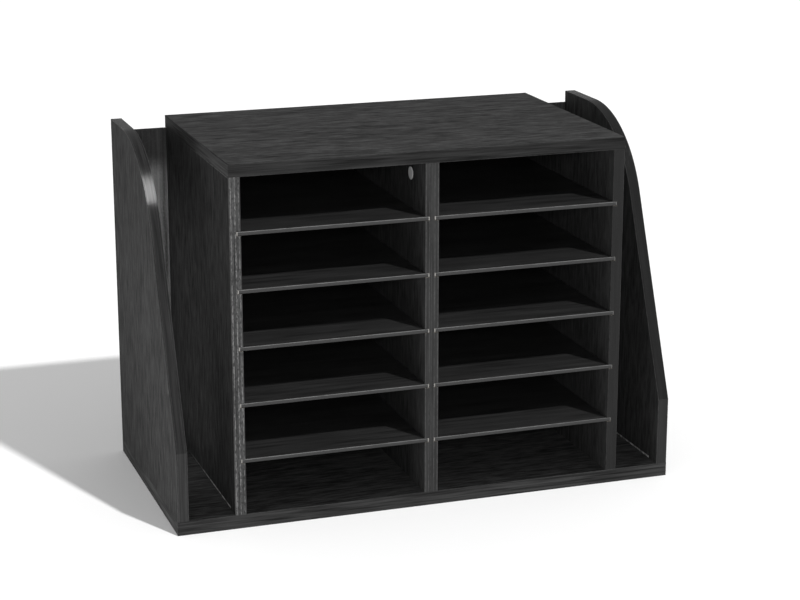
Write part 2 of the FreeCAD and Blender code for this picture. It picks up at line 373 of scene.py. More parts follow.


# the tape on the sawn edges: the grain runs along the strip, whatever its path. Where a matt
# strip turns round the ends of its board, the ends are painted as pale as the boards: painted
# light, paler than the front of the same tape. Flecks are dark specks on the tape, and its own
# dark tone at 1
def edgingFinish(name, dark, light, lines=(), matt=False, flecks=0.0):
    material, tree = blankMaterial(name)
    look = dict(edging)
    if matt:
        look.update(gloss=laminate["gloss"], roughness=laminate["roughness"])
    strip = addNode(tree, "ShaderNodeUVMap", uv_map="strip").outputs[0]
    rim = addNode(tree, "ShaderNodeAttribute", attribute_name="rim").outputs["Fac"]
    wood = place(tree, woodGrain, {"Vector": strip, **edging["grain"]})
    worn = place(tree, edgeWear, {"Rim": rim, "Vector": strip, "Amount": edging["wear"]})["Mask"]
    parts = separated(tree, strip)
    tone = wood["Tone"]
    if lines:
        tone = times(tree, tone, edging["ground"])
    # paler lines along the strip: painted highlights, standing for glints on its pressed lines
    for level, strength in lines:
        line = place(tree, raggedLine, {
            "Along": parts[0], "Height": parts[1], "Level": level, **edging["wholeStrip"],
            **edging["raggedLine" if flecks else "calmLine"]})["Mask"]
        tone = scaled(tree, line, strength, tone, clamp=True)
    if flecks:
        specks = patchy(tree, stretched(tree, strip, *edging["fleckSpacing"]),
                        **edging["fleckPatches"])
        tone = times(tree, tone, scaled(tree, specks, -flecks, 1.0))
    colour = mixed(tree, tone, paint(dark), paint(light))
    if matt:
        # painted light: the ends of the tape are painted paler than its front
        paintedLitEnds = ramped(tree, maths(tree, "ABSOLUTE", facingWay(tree)[0]), *edging["turnedEnd"])
        colour = mixed(tree, paintedLitEnds, colour, mixed(tree, tone, *laminate["X"]))
    colour = mixed(tree, worn, colour, edging["worn"])
    rough = tonedRoughness(tree, wood["Tone"], look)
    rough = scaled(tree, rim, edging["rimRoughness"], rough, clamp=True)
    return finished(material, colour, rough, wood["Height"], look)


shelfPaint = {
    # the arris tone is a painted highlight along the upper arris of the front edge, and the rubs
    # are the patches that break it up
    "tones": (paint(28), paint(48)), "edge": paint(48), "arrisHighlight": paint(100),
    "grain": {"Along": 13.0, "Across": 300.0}, "handled": 0.6,
    "edgeTurn": (-0.30, -0.75), "arrisTurn": (0.10, 0.45),     # of the way it faces
    "rubs": {"scale": 70.0, "low": 0.30, "high": 0.55, "toLow": 0.55},
    "gloss": 0.2, "roughness": 0.38, "smudgeEffect": -0.1, "relief": (0.5, 0.0001),
}


def shelfFinish():
    material, tree, where, parts = newFinish("shelfFinish")
    wood = place(tree, woodGrain, {"Vector": where, **shelfPaint["grain"]})
    marks = place(tree, handling, {"Vector": where, "Amount": shelfPaint["handled"]})
    colour = mixed(tree, wood["Tone"], *shelfPaint["tones"])
    # the front edge is paler, and its upper arris carries a painted highlight, broken up in
    # patches
    way = facingWay(tree)
    edge = ramped(tree, way[1], *shelfPaint["edgeTurn"])
    arrisHighlightMask = times(tree, edge, ramped(tree, way[2], *shelfPaint["arrisTurn"]))
    arrisHighlightMask = times(tree, arrisHighlightMask, patchy(tree, where, **shelfPaint["rubs"]))
    colour = mixed(tree, edge, colour, shelfPaint["edge"])
    rough = scaled(tree, marks["Smudge"], shelfPaint["smudgeEffect"], shelfPaint["roughness"])
    return finished(material, mixed(tree, arrisHighlightMask, colour, shelfPaint["arrisHighlight"]), rough,
                    wood["Height"], shelfPaint)


rawEnd = {
    "tones": (paint(112, 110, 107), paint(150, 148, 145)), "chips": 1500.0,
    "darkerRight": paint(74), "darkerRightFrom": 0.20, "darkerRightFade": 0.02, "darkerRightShare": 0.9,
    "gloss": 0.2, "roughness": 0.85, "toneEffect": 0.1, "relief": (0.5, 0.0002),
}


def rawEndFinish():
    material, tree, where, parts = newFinish("rawEndFinish")
    crumb = place(tree, pressedChips,
                  {"Vector": where, "Chips Per Metre": rawEnd["chips"]})["Tone"]
    colour = mixed(tree, crumb, *rawEnd["tones"])
    # the ends on the right-hand side are darker
    darkerRight = ramped(tree, parts[0], rawEnd["darkerRightFrom"],
                     rawEnd["darkerRightFrom"] + rawEnd["darkerRightFade"], toHigh=rawEnd["darkerRightShare"])
    return finished(material, mixed(tree, darkerRight, colour, rawEnd["darkerRight"]),
                    tonedRoughness(tree, crumb, rawEnd), crumb, rawEnd)


# a grain that runs up the piece
def uprightWood(tree, parts, settings):
    turned = combined(tree, parts[2], parts[0], parts[1])
    return place(tree, woodGrain, {"Vector": turned, **settings})


backSheet = {
    "tones": (paint(28), paint(64)), "fibre": paint(84),
    "grain": {"Along": 10.0, "Across": 300.0}, "fibreScale": 520.0,
    "fibreShows": (0.45, 0.8, 0.0, 0.3), "roughness": (0.2, 0.8, 0.62, 0.78),
    "gloss": 0.2, "relief": (0.4, 0.0002),
}


def backSheetFinish():
    material, tree, where, parts = newFinish("backSheetFinish")
    wood = uprightWood(tree, parts, backSheet["grain"])
    fibre = noise(tree, where, scale=backSheet["fibreScale"], detail=4.0)
    colour = mixed(tree, wood["Tone"], *backSheet["tones"])
    colour = mixed(tree, ramped(tree, fibre, *backSheet["fibreShows"]), colour,
                   backSheet["fibre"])
    return finished(material, colour, ramped(tree, fibre, *backSheet["roughness"]), fibre,
                    backSheet)


metal = {
    "brushed": 700.0, "grime": paint(70, 66, 60),
    "grimePatches": {"scale": 120.0, "low": 0.5, "high": 0.75, "toHigh": 0.35, "detail": 2.0},
    "scratches": (0.3, 0.7), "spread": (-0.08, 0.12),     # about each metal's roughness
    "gloss": 0.5, "metallic": 1.0, "relief": (0.25, 0.00005),
}


def metalFinish(name, colour, roughness):
    material, tree, where, parts = newFinish(name)
    scratches = noise(tree, where, scale=metal["brushed"], detail=3.0)
    grime = patchy(tree, where, **metal["grimePatches"])
    rough = ramped(tree, scratches, *metal["scratches"],
                   *(roughness + more for more in metal["spread"]))
    return finished(material, mixed(tree, grime, colour, metal["grime"]), rough, scratches,
                    metal)


capPlastic = {
    "tones": (paint(172), paint(196)), "roughness": (0.3, 0.7, 0.37, 0.50),
    "mottle": 260.0, "pebbles": 2600.0, "gloss": 0.5, "relief": (0.3, 0.00004),
}


def capFinish():
    material, tree, where, parts = newFinish("capFinish")
    mottle = noise(tree, where, scale=capPlastic["mottle"], detail=3.0)
    pebbles = noise(tree, where, scale=capPlastic["pebbles"], detail=1.0)
    return finished(material, mixed(tree, mottle, *capPlastic["tones"]),
                    ramped(tree, mottle, *capPlastic["roughness"]), pebbles, capPlastic)


beech = {
    "tones": (paint(176, 138, 96), paint(214, 182, 140)),
    "grain": {"Along": 60.0, "Across": 900.0, "Wander": 0.0008},
    "gloss": 0.35, "roughness": 0.65, "toneEffect": -0.1, "relief": (0.5, 0.0001),
}


def beechFinish():
    material, tree, where, parts = newFinish("beechFinish")
    wood = uprightWood(tree, parts, beech["grain"])
    return finished(material, mixed(tree, wood["Tone"], *beech["tones"]),
                    tonedRoughness(tree, wood["Tone"], beech), wood["Height"], beech)


finishes = {
    "shelf": shelfFinish(),
    "rawEnd": rawEndFinish(),
    "backSheet": backSheetFinish(),
    "cap": capFinish(),
    "beech": beechFinish(),
}
for name, colour, roughness in (("zinc", paint(168, 170, 174), 0.42),
                                ("boltSteel", paint(186, 184, 176), 0.32),
                                ("nailSteel", paint(150, 150, 148), 0.36),
                                ("blackScrew", paint(58, 58, 60), 0.45)):
    finishes[name] = metalFinish(name + "Finish", colour, roughness)
print("finishes built")


# CAD nodes that keep their shape
def dress(node, material):
    mesh = cadNodes[node].data
    mesh.materials.clear()
    mesh.materials.append(material)


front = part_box("edge_tape_base")[0].y
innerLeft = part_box("inner_side_left")[0].x
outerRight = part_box("outer_side_right")[0].x
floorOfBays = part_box("base_board")[1].z
# pale lines along some board faces, near the floor of the side pockets and under the top board,
# each brightest at the front and fading out towards the back
paleWallLines = {
    "inner_side_left": [
        {"face": innerLeft, "core": paint(176),     # at the foot
         "line": {"Level": floorOfBays + 0.0022, "Width": 0.0026,
                  "Start": front + 0.022, "End": front + 0.28}},
        {"face": innerLeft, "core": paint(92),      # under the top board
         "line": {"Level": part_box("inner_side_left")[1].z - 0.0008, "Width": 0.0014,
                  "Start": front + 0.001, "End": front + 0.25}},
    ],
    "outer_side_right": [
        {"face": outerRight, "core": paint(172),
         "line": {"Level": floorOfBays + 0.0018, "Width": 0.0030,
                  "Start": front + 0.022, "End": front + 0.24}},
    ],
}
for node in ("base_board", "top_board"):
    dress(node, boardFinish(node, "X", "Z"))
for node in ("outer_side_left", "outer_side_right", "inner_side_left", "inner_side_right",
             "centre_divider"):
    dress(node, boardFinish(node, "Z", "X", paleWallLines.get(node, ())))
for node, finish in (("back_panel", "backSheet"), ("cam_locks", "zinc"),
                     ("cam_bolts", "boltSteel"), ("top_dowels", "beech"),
                     ("base_dowels", "beech")):
    dress(node, finishes[finish])
print("boards dressed")


# pieces made here, each in the place of a CAD node
def settle(mesh, name, body, slotName, *replaced):
    piece = bringIn(name, mesh)
    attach(piece, body)
    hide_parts(*replaced)


def pointOutwards(mesh):
    work = bmesh.new()
    work.from_mesh(mesh)
    bmesh.ops.recalc_face_normals(work, faces=work.faces)
    work.to_mesh(mesh)
    work.free()


# edge tape that follows a path round a board
tape = {
    "thickness": 0.0006,
    "rounding": 0.00045,      # of the two long arrises
    "tight": 0.00004,         # where a side meets it
    "roundingSteps": 3,
    "rim": 0.0009,            # how far in from an arris the wear reaches
    "smoothBelow": 12,        # degrees
    "notch": 0.006,           # how deep and how roomy the shelves' notches are
    "notchRoom": 0.0003,
    "grainShift": 1.7,        # between the strips, so that none repeats another
}


# (across, depth) round the strip's section, from one glued corner to the other; the two
# roundings are those of its near and far arris
def tapeProfile(width, roundings):
    turn = [math.pi / 2 * k / tape["roundingSteps"] for k in range(tape["roundingSteps"] + 1)]
    halves = [[(0.0, tape["thickness"])]
              + [(radius - radius * math.cos(a), radius - radius * math.sin(a)) for a in turn]
              + [(tape["rim"], 0.0)] for radius in roundings]
    return halves[0] + [(width - across, depth) for across, depth in reversed(halves[1])]


# a strip along a path; outward holds the way out at each point of it
def sweepTape(name, path, outward, across, width, closed, shift, roundings):
    profile = tapeProfile(width, roundings)
    count, around = len(path), len(profile)
    travelled = [shift]
    for a, b in zip(path, path[1:] + path[:1]):
        travelled.append(travelled[-1] + (b - a).length)
    grid, rims = [], []
    for point, way in zip(path, outward):
        for s, depth in profile:
            grid.append(point - way * depth + across * s)
            rims.append(0.0 if tape["rim"] <= s <= width - tape["rim"] else 1.0)
    faces, uvs = [], []
    for i in range(count if closed else count - 1):
        j = (i + 1) % count
        for k in range(around):
            n = (k + 1) % around
            faces.append((i * around + k, i * around + n, j * around + n, j * around + k))
            begin, end = travelled[i], travelled[i + 1]
            uvs += [(begin, profile[k][0]), (begin, profile[n][0]),
                    (end, profile[n][0]), (end, profile[k][0])]
    if not closed:
        last = (count - 1) * around
        faces.append(tuple(range(around)))
        faces.append(tuple(last + k for k in reversed(range(around))))
        uvs += [(travelled[0], s) for s, _ in profile]
        uvs += [(travelled[count - 1], s) for s, _ in reversed(profile)]
    mesh = bpy.data.meshes.new(name)
    mesh.from_pydata(grid, [], faces)
    layer = mesh.uv_layers.new(name="strip")
    layer.data.foreach_set("uv", [value for uv in uvs for value in uv])
    mesh.attributes.new("rim", "FLOAT", "POINT").data.foreach_set("value", rims)
    pointOutwards(mesh)
    mesh.polygons.foreach_set("use_smooth", [True] * len(mesh.polygons))
    mesh.set_sharp_from_angle(angle=math.radians(tape["smoothBelow"]))
    return mesh


# mitred ways out at the corners of a level path, walked with the board on the left
def cornered(points, closed):
    sides = [(b - a).normalized() for a, b in zip(points, points[1:] + points[:1])]
    outs = [Vector((side.y, -side.x, 0.0)) for side in sides]
    ways = []
    for before, after in zip(outs[-1:] + outs, outs):
        way = (before + after).normalized()
        ways.append(way / way.dot(before))
    if not closed:
        ways[0], ways[-1] = outs[0], outs[-2]
    return ways


def levelTape(name, node, closed, shift, roundings):
    low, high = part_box(node)
    corners = [Vector((x, y, low.z)) for x, y in ((low.x, high.y), (low.x, low.y),
                                                  (high.x, low.y), (high.x, high.y))]
    return sweepTape(name, corners, cornered(corners, closed), Vector((0, 0, 1)),
                     high.z - low.z, closed, shift, roundings)


sideShape = {
    "frontHeight": 0.107,     # floor to the foot of the slope
    "slope": 22.4,            # degrees back from upright
    "crownRadius": 0.160,
    "footRadius": 0.005,      # the tape bends round the foot of the slope
    "crownSteps": 56,
    "footSteps": 6,
}


# points and ways out along the shown edge of an outer side, from its foot to the back
def sidePath(node):
    low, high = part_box(node)
    lean, radius = math.radians(sideShape["slope"]), sideShape["crownRadius"]
    rise = high.z - radius - sideShape["frontHeight"] + radius * math.sin(lean)
    run = rise * math.tan(lean)
    centre = Vector((low.x, low.y + run + radius * math.cos(lean), high.z - radius))
    foot = sideShape["footRadius"]
    footCentre = Vector((low.x, low.y + foot,
                         sideShape["frontHeight"] - foot * math.tan(lean / 2)))
    points = [Vector((low.x, low.y, low.z))]
    ways = [Vector((0, -1, 0))]
    for middle, reach, first, last, steps in (
            (footCentre, foot, 0.0, lean, sideShape["footSteps"]),
            (centre, radius, lean, math.pi / 2, sideShape["crownSteps"])):
        for k in range(steps + 1):
            angle = first + (last - first) * k / steps
            way = Vector((0, -math.cos(angle), math.sin(angle)))
            points.append(middle + way * reach)
            ways.append(way)
    points.append(Vector((low.x, high.y, high.z)))
    ways.append(Vector((0, 0, 1)))
    return points, ways


# a straight upright strip, cut through where the shelves slide in
def notchedTape(name, node, notches, shift):
    low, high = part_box(node)
    levels = [low.z]
    for shelf in range(1, 6):
        bottom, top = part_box("shelf_left_%d" % shelf)
        levels += [bottom.z - tape["notchRoom"], top.z + tape["notchRoom"]]
    levels.append(high.z)
    columns = [low.x, low.x + tape["notch"], high.x - tape["notch"], high.x]
    work = bmesh.new()
    grid = [[work.verts.new((x, low.y, z)) for x in columns] for z in levels]
    for row in range(len(levels) - 1):
        for column in range(3):
            cut = row % 2 == 1 and ((column == 0 and "left" in notches)
                                    or (column == 2 and "right" in notches))
            if not cut:
                work.faces.new((grid[row][column], grid[row][column + 1],
                                grid[row + 1][column + 1], grid[row + 1][column]))
    bmesh.ops.delete(work, geom=[v for v in work.verts if not v.link_faces], context="VERTS")
    bmesh.ops.dissolve_faces(work, faces=list(work.faces))
    bmesh.ops.inset_region(work, faces=list(work.faces), thickness=tape["rim"],
                           use_even_offset=True, use_boundary=True)
    rimLayer = work.verts.layers.float.new("rim")
    for vert in work.verts:
        vert[rimLayer] = 1.0 if any(edge.is_boundary for edge in vert.link_edges) else 0.0
    outline = [edge for edge in work.edges if edge.is_boundary]
    raised = bmesh.ops.extrude_edge_only(work, edges=outline)
    backVerts = [v for v in raised["geom"] if isinstance(v, bmesh.types.BMVert)]
    for vert in backVerts:
        vert.co.y += tape["thickness"]
        vert[rimLayer] = 1.0
    backEdges = [e for e in raised["geom"] if isinstance(e, bmesh.types.BMEdge)
                 and all(v in backVerts for v in e.verts)]
    bmesh.ops.contextual_create(work, geom=backEdges)
    # only the arrises of the front face are rounded
    outline = [e for e in work.edges
               if all(abs(v.co.y - low.y) < 1e-7 for v in e.verts)
               and any(abs(f.normal.y) < 0.5 for f in e.link_faces)]
    bmesh.ops.bevel(work, geom=outline, offset=tape["rounding"], offset_type="OFFSET",
                    segments=tape["roundingSteps"], profile=0.5, affect="EDGES",
                    clamp_overlap=True)
    bmesh.ops.recalc_face_normals(work, faces=work.faces)
    uvLayer = work.loops.layers.uv.new("strip")
    for face in work.faces:
        for loop in face.loops:
            loop[uvLayer].uv = (loop.vert.co.z + shift, loop.vert.co.x - low.x)
    mesh = bpy.data.meshes.new(name)
    work.to_mesh(mesh)
    work.free()
    return mesh


# the darkest and lightest tone of each strip, and the paler lines along it, by how far
# across they lie. The tones are painted light: one tape, painted paler on the strips to the
# left and darker towards the right, where less light falls. The paler lines are painted
# highlights, standing for glints on lines pressed into the tape
strips = {
    "base": {"dark": 24, "light": 56, "matt": True},
    "top": {"dark": 22, "light": 46, "matt": True},
    "outer_left": {"dark": 24, "light": 58, "lines": ((0.002, 0.35), (0.0115, 0.25))},
    "outer_right": {"dark": 24, "light": 42, "lines": ((0.004, 0.25),)},
    "inner_left": {"dark": 26, "light": 98, "flecks": 0.65,
                   "lines": ((0.0021, 0.70), (0.0076, 0.85), (0.0124, 0.6))},
    "divider": {"dark": 20, "light": 64,
                "lines": ((0.0009, 0.5), (0.0055, 0.5), (0.0083, 0.3), (0.0124, 0.5),
                          (0.0168, 0.55))},
    "inner_right": {"dark": 16, "light": 24},
}
notchedSides = {"inner_left": ("right",), "divider": ("left", "right"),
                "inner_right": ("left",)}
for order, (part, look) in enumerate(strips.items()):
    node, name = "edge_tape_" + part, "edging_" + part
    shift = order * tape["grainShift"]
    if part == "base":
        mesh = levelTape(name, node, False, shift, (tape["rounding"], tape["tight"]))
    elif part == "top":
        mesh = levelTape(name, node, True, shift, (tape["tight"], tape["rounding"]))
    elif part in notchedSides:
        mesh = notchedTape(name, node, notchedSides[part], shift)
    else:
        low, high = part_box(node)
        mesh = sweepTape(name, *sidePath(node), Vector((1, 0, 0)), high.x - low.x, False,
                         shift, (tape["rounding"], tape["rounding"]))
    mesh.materials.append(edgingFinish(name + "Finish", **look))
    settle(mesh, name, "root", "edge_tape", node)
print("edge tape laid:", len(strips), "strips")


# an empty geometry tree with its inputs, and a way to add its nodes
def geometryTree(name, inputs):
    tree = bpy.data.node_groups.new(name, "GeometryNodeTree")
    for label, kind in [("Geometry", "Geometry"), *inputs]:
        tree.interface.new_socket(name=label, in_out="INPUT", socket_type="NodeSocket" + kind)
    tree.interface.new_socket(name="Geometry", in_out="OUTPUT", socket_type="NodeSocketGeometry")
    given = tree.nodes.new("NodeGroupInput").outputs
    result = tree.nodes.new("NodeGroupOutput").inputs

    def add(kind, values, **settings):
        return addNode(tree, "GeometryNode" + kind, values, **settings).outputs

    return tree, given, result["Geometry"], add


# runs a geometry tree on a start mesh and returns the plain mesh that comes out
def grown(name, startMesh, tree, values):
    holder = bringIn(name + "Start", startMesh)
    modifier = holder.modifiers.new("grow", "NODES")
    modifier.node_group = tree
    for item in tree.interface.items_tree:
        if item.in_out == "INPUT" and item.name in values:
            modifier[item.identifier] = values[item.name]
    bpy.context.view_layer.update()
    evaluated = holder.evaluated_get(bpy.context.evaluated_depsgraph_get())
    mesh = bpy.data.meshes.new_from_object(evaluated)
    mesh.name = name
    holder.modifiers.clear()
    bpy.data.objects.remove(holder)
    return mesh


# pull-out shelves
shelfShape = {
    "rounding": 0.0011,       # of the long arrises
    "roundingPoints": 4,
    "rawTip": 0.0012,         # bare board at each end of the front edge
    "weld": 0.00001,
    "endTurn": 0.9,           # how squarely an end faces along X
}


def buildShelfTree():
    tree, given, result, add = geometryTree(
        "pullOutShelf",
        [("Depth", "Float"), ("Thickness", "Float"), ("Width", "Float"), ("Rounding", "Float"),
         ("Raw Tip", "Float"), ("Centre", "Vector"), ("Face Finish", "Material"),
         ("Raw Finish", "Material")])
    section = add("CurvePrimitiveQuadrilateral",
                  {"Width": given["Depth"], "Height": given["Thickness"]})
    rounded = add("FilletCurve",
                  {"Curve": section[0], "Radius": given["Rounding"],
                   "Count": shelfShape["roundingPoints"]}, mode="POLY")
    end = add("FillCurve", {"Curve": rounded[0]}, mode="NGONS")[0]
    tip = given["Raw Tip"]
    between = maths(tree, "SUBTRACT", given["Width"], times(tree, tip, 2.0))
    body, top = end, True
    for length in (tip, between, tip):
        body, top, _ = add("ExtrudeMesh", {"Mesh": body, "Selection": top,
                                           "Offset Scale": length, "Individual": False})
    whole = addNode(tree, "GeometryNodeJoinGeometry")
    for part in (add("FlipFaces", {"Mesh": end})[0], body):
        tree.links.new(part, whole.inputs[0])
    merged = add("MergeByDistance",
                 {"Geometry": whole.outputs[0], "Distance": shelfShape["weld"]})
    # the section lies in X and Y and grows along Z; here the width is laid along X
    halfWidth = times(tree, given["Width"], 0.5)
    drop = combined(tree, 0.0, 0.0, times(tree, halfWidth, -1.0))
    lowered = add("Transform", {"Geometry": merged[0], "Translation": drop})
    turned = add("Transform", {"Geometry": lowered[0], "Translation": given["Centre"],
                               "Rotation": (math.pi / 2, 0.0, math.pi / 2)})
    # bare where it is an end, or the front edge beside an end
    fromCentre = joined(tree, "SUBTRACT", add("InputPosition", {})[0], given["Centre"])
    spot = separated(tree, fromCentre)
    facing = separated(tree, add("InputNormal", {})[0])
    isEnd = maths(tree, "GREATER_THAN", maths(tree, "ABSOLUTE", facing[0]),
                  shelfShape["endTurn"])
    nearEnd = maths(tree, "GREATER_THAN", maths(tree, "ABSOLUTE", spot[0]),
                    maths(tree, "SUBTRACT", halfWidth, tip))
    frontLimit = scaled(tree, given["Depth"], -0.5, given["Rounding"])
    isFront = maths(tree, "LESS_THAN", spot[1], frontLimit)
    bare = maths(tree, "MAXIMUM", isEnd, times(tree, nearEnd, isFront))
    real = add("RealizeInstances", {"Geometry": turned[0]})
    coloured = add("SetMaterial", {"Geometry": real[0], "Material": given["Face Finish"]})
    tipped = add("SetMaterial", {"Geometry": coloured[0], "Selection": bare,
                                 "Material": given["Raw Finish"]})
    feed(tree, result, tipped[0])
    return tree


shelfTree = buildShelfTree()
for side in ("left", "right"):
    for level in range(1, 6):
        node = "shelf_%s_%d" % (side, level)
        low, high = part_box(node)
        mesh = grown("pull_" + node, bpy.data.meshes.new("shelfStart"), shelfTree, {
            "Depth": high.y - low.y, "Thickness": high.z - low.z, "Width": high.x - low.x,
            "Rounding": shelfShape["rounding"], "Raw Tip": shelfShape["rawTip"],
            "Centre": (low + high) / 2, "Face Finish": finishes["shelf"],
            "Raw Finish": finishes["rawEnd"]})
        settle(mesh, "pull_" + node, node + "_body", "shelf_laminate", node)
print("shelves made: 10")


def closedMesh(name, verts, faces):
    mesh = bpy.data.meshes.new(name)
    mesh.from_pydata(verts, [], faces)
    pointOutwards(mesh)
    return mesh


# a closed turned shape from (radius, height) points, the first and last on the axis
def lathe(name, profile, sides):
    verts, faces, rings = [], [], []
    for radius, height in profile:
        if radius == 0.0:
            rings.append([len(verts)])
            verts.append((0.0, 0.0, height))
        else:
            rings.append(list(range(len(verts), len(verts) + sides)))
            verts += [(radius * math.cos(math.tau * k / sides),
                       radius * math.sin(math.tau * k / sides), height) for k in range(sides)]
    for upper, lower in zip(rings, rings[1:]):
        for k in range(sides):
            n = (k + 1) % sides
            corners = [upper[k % len(upper)], lower[k % len(lower)],
                       lower[n % len(lower)], upper[n % len(upper)]]
            faces.append(tuple(dict.fromkeys(corners)))
    return closedMesh(name, verts, faces)


# copies of one fastener, each faced its own way and turned at random about it
def buildFastenerTree():
    tree, given, result, add = geometryTree(
        "fastenerSet", [("Pattern", "Object"), ("Turn Spread", "Float"), ("Size", "Float"),
                        ("Seed", "Int"), ("Finish", "Material")])
    facing = add("InputNamedAttribute", {"Name": "facing"}, data_type="FLOAT_VECTOR")
    pattern = add("ObjectInfo", {"Object": given["Pattern"]})
    aligned = addNode(tree, "FunctionNodeAlignRotationToVector",
                      {"Vector": facing[0]}, axis="Z")
    turn = addNode(tree, "FunctionNodeRandomValue",
                   {"Min": 0.0, "Seed": given["Seed"]}, data_type="FLOAT")
    tree.links.new(given["Turn Spread"], turn.inputs[3])
    spin = addNode(tree, "FunctionNodeAxisAngleToRotation",
                   {"Axis": (0.0, 0.0, 1.0), "Angle": turn.outputs[1]})
    both = addNode(tree, "FunctionNodeRotateRotation",
                   {"Rotation": aligned.outputs[0], "Rotate By": spin.outputs[0]},
                   rotation_space="LOCAL")
    copies = add("InstanceOnPoints", {"Points": given["Geometry"],
                                      "Instance": pattern["Geometry"],
                                      "Rotation": both.outputs[0], "Scale": given["Size"]})
    real = add("RealizeInstances", {"Geometry": copies[0]})
    painted = add("SetMaterial", {"Geometry": real[0], "Material": given["Finish"]})
    feed(tree, result, painted[0])
    return tree


# a mesh of loose points, each with the way that its fastener faces
def spots(name, places):
    mesh = bpy.data.meshes.new(name)
    mesh.from_pydata([point for point, _ in places], [], [])
    ways = mesh.attributes.new("facing", "FLOAT_VECTOR", "POINT")
    ways.data.foreach_set("vector", [value for _, way in places for value in way])
    return mesh


fastenerTree = buildFastenerTree()
fastening = {"Turn Spread": 6.0, "Size": 1.0, "Seed": 7}


def fit(name, patternMesh, places, finish, slotName, node):
    pattern = bringIn(name + "Pattern", patternMesh)
    mesh = grown(name, spots(name + "Spots", places), fastenerTree,
                 {"Pattern": pattern, "Finish": finishes[finish], **fastening})
    bpy.data.objects.remove(pattern)
    settle(mesh, name, "root", slotName, node)


uprightX = [sum(corner.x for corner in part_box(node)) / 2
            for node in ("outer_side_left", "inner_side_left", "centre_divider",
                         "inner_side_right", "outer_side_right")]
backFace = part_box("back_panel")[1].y
rowFloors = [floorOfBays] + [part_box("shelf_left_%d" % k)[1].z for k in range(1, 6)]
halfRow = (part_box("shelf_left_1")[0].z - floorOfBays) / 2

nailShape = {
    "head": 0.0025, "headHeight": 0.001, "shank": 0.0009, "length": 0.018, "taper": 0.0015,
    "dome": ((0, 1), (0.45, 0.97), (0.8, 0.72), (1, 0.3), (0.96, 0)),     # shares of the head
    "sides": 20,
    "rows": (0, 2, 3, 5),     # up each upright
    "foot": 0.009, "footPlaces": (0.288, 0.06775, 0.18525),     # into the base board
}
nailProfile = [(reach * nailShape["head"], rise * nailShape["headHeight"])
               for reach, rise in nailShape["dome"]]
shank, length = nailShape["shank"], nailShape["length"]
nailProfile += [(shank, 0), (shank, nailShape["taper"] - length), (0, -length)]
nailPlaces = [((x, backFace, rowFloors[row] + halfRow), (0, 1, 0))
              for x in uprightX for row in nailShape["rows"]]
nailPlaces += [((side * x, backFace, nailShape["foot"]), (0, 1, 0))
               for side in (-1, 1) for x in nailShape["footPlaces"]]
fit("panel_nails", lathe("nail", nailProfile, nailShape["sides"]), nailPlaces, "nailSteel",
    "nail_steel", "back_nails")

screwShape = {"head": 0.0048, "shank": 0.0026, "headHeight": 0.0036, "length": 0.046,
              "taper": 0.004, "point": 0.00065, "recess": 0.0004, "socket": 0.002,
              "socketDepth": 0.0022, "socketFoot": 0.98, "chamfer": 0.0002,
              "rimWidth": 0.0003, "sides": 24, "inset": 0.055}


# distance from the centre to a hexagon's side, at an angle
def hexagonReach(angle, corner):
    return corner * math.cos(math.pi / 6) / math.cos((angle + math.pi / 6) % (math.pi / 3)
                                                     - math.pi / 6)


def screwMesh():
    s = screwShape
    sides = s["sides"]
    angles = [math.tau * k / sides for k in range(sides)]
    hexagon = [hexagonReach(a, s["socket"]) for a in angles]
    rings = [([value * s["socketFoot"] for value in hexagon], -s["socketDepth"]),
             (hexagon, -s["chamfer"]),
             ([value + s["chamfer"] for value in hexagon], 0.0),
             ([s["head"] - s["rimWidth"]] * sides, 0.0),
             ([s["head"]] * sides, -s["chamfer"]),
             ([s["shank"]] * sides, -s["headHeight"]),
             ([s["shank"]] * sides, s["taper"] - s["length"]),
             ([s["point"]] * sides, -s["length"])]
    verts = [(reach * math.cos(a), reach * math.sin(a), height)
             for reaches, height in rings for reach, a in zip(reaches, angles)]
    faces = [tuple(range(sides))]
    for ring in range(len(rings) - 1):
        for k in range(sides):
            n = (k + 1) % sides
            faces.append((ring * sides + k, ring * sides + n,
                          (ring + 1) * sides + n, (ring + 1) * sides + k))
    faces.append(tuple((len(rings) - 1) * sides + k for k in range(sides)))
    return closedMesh("screw", verts, faces)


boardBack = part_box("outer_side_left")[1].y
screwRows = (front + screwShape["inset"], boardBack - screwShape["inset"])
fit("base_screw_set", screwMesh(),
    [((x, y, screwShape["recess"]), (0, 0, -1)) for x in uprightX for y in screwRows],
    "blackScrew", "black_screw", "base_screws")

capShape = {
    "radius": 0.00825, "thickness": 0.0008, "drop": 0.0230, "sides": 40,
    "dish": ((0, 0.86), (0.30, 0.87), (0.62, 0.93), (0.80, 1), (0.90, 0.96), (0.97, 0.72),
             (1, 0.35), (1, 0), (0, 0)),
}
capProfile = [(reach * capShape["radius"], rise * capShape["thickness"])
              for reach, rise in capShape["dish"]]
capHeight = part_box("top_board")[0].z - capShape["drop"]
capFaces = ((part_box("inner_side_left")[1].x, 1), (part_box("centre_divider")[0].x, -1),
            (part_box("inner_side_right")[1].x, 1))
fit("cam_cap_set", lathe("cap", capProfile, capShape["sides"]),
    [((x, y, capHeight), (way, 0, 0)) for x, way in capFaces for y in screwRows],
    "cap", "grey_cap", "cam_caps")
print("fasteners fitted:", len(nailPlaces), "nails, 10 screws, 6 caps")


